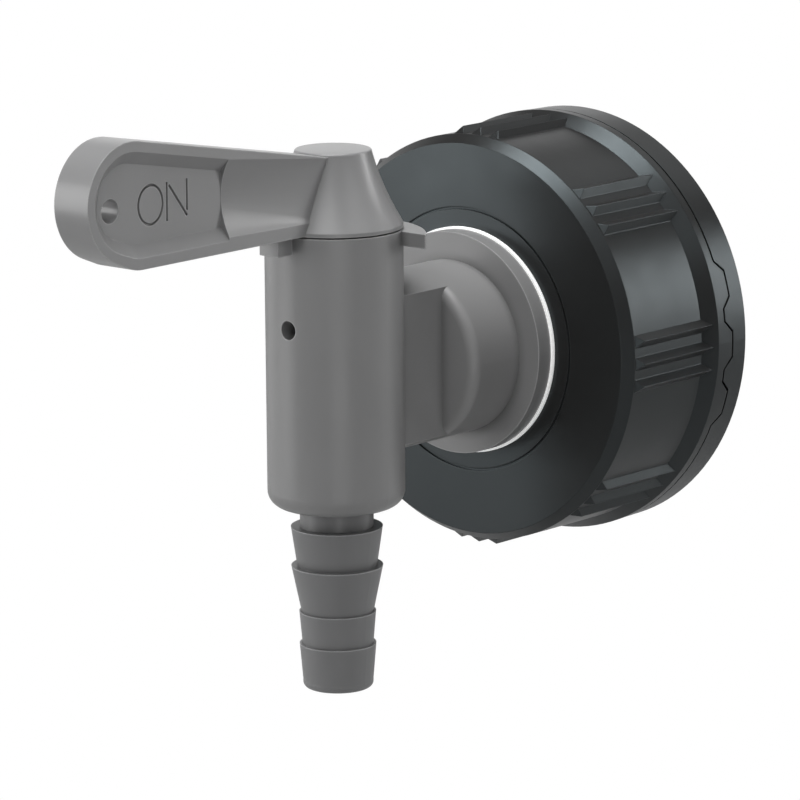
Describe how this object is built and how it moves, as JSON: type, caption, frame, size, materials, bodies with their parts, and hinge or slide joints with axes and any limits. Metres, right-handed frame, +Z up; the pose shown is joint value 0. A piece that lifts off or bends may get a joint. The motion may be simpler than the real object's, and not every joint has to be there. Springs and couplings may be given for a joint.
{
  "type": "outlet tap",
  "caption": "Outlet tap for a canister: swivelling ribbed screw cap, upright barrel with a hollow plug turned by a lever, an air passage, and a stepped hose tail.",
  "frame": {"origin": "on the cap axis, in the plane where the cap's thread wall ends at the tamper band", "axes": "+Y out of the cap's open mouth, towards the canister; +Z up along the barrel; +X to the right of someone who faces the lever's tip and looks along +Y"},
  "size_m": [0.0701, 0.1203, 0.0948],
  "materials": {
    "body": "satin",
    "lever": "satin",
    "plug": "satin",
    "tail": "satin",
    "seal": "matt",
    "slip": "satin",
    "clip": "spring steel",
    "washer": "white, matt",
    "nut": "satin",
    "cap": "satin",
    "band": "satin",
    "gasket": "matt"
  },
  "bodies": {
    "cap": {"screw_cap": "cap", "cap_gasket": "gasket", "tamper_band": "band"},
    "tap": {"tap_body": "body", "port_seal": "seal", "air_seal": "seal", "thrust_washer": "slip", "hose_tail": "tail", "tail_seal": "seal", "flange_washer": "washer", "stub_seal": "seal", "slip_washer": "slip", "back_nut": "nut"},
    "plug": {"plug": "plug", "lever": "lever", "plug_seal_upper": "seal", "plug_seal_lower": "seal", "retaining_clip": "clip"}
  },
  "joints": [
    {"name": "tap_swivel", "type": "hinge", "parent": "cap", "child": "tap", "pos_m": [0, -0.0234, 0], "axis": [0, 1, 0], "continuous": true},
    {"name": "lever_turn", "type": "hinge", "parent": "tap", "child": "plug", "pos_m": [0, -0.05565, 0], "axis": [0, 0, 1], "range_deg": [-100, 100]}
  ]
}
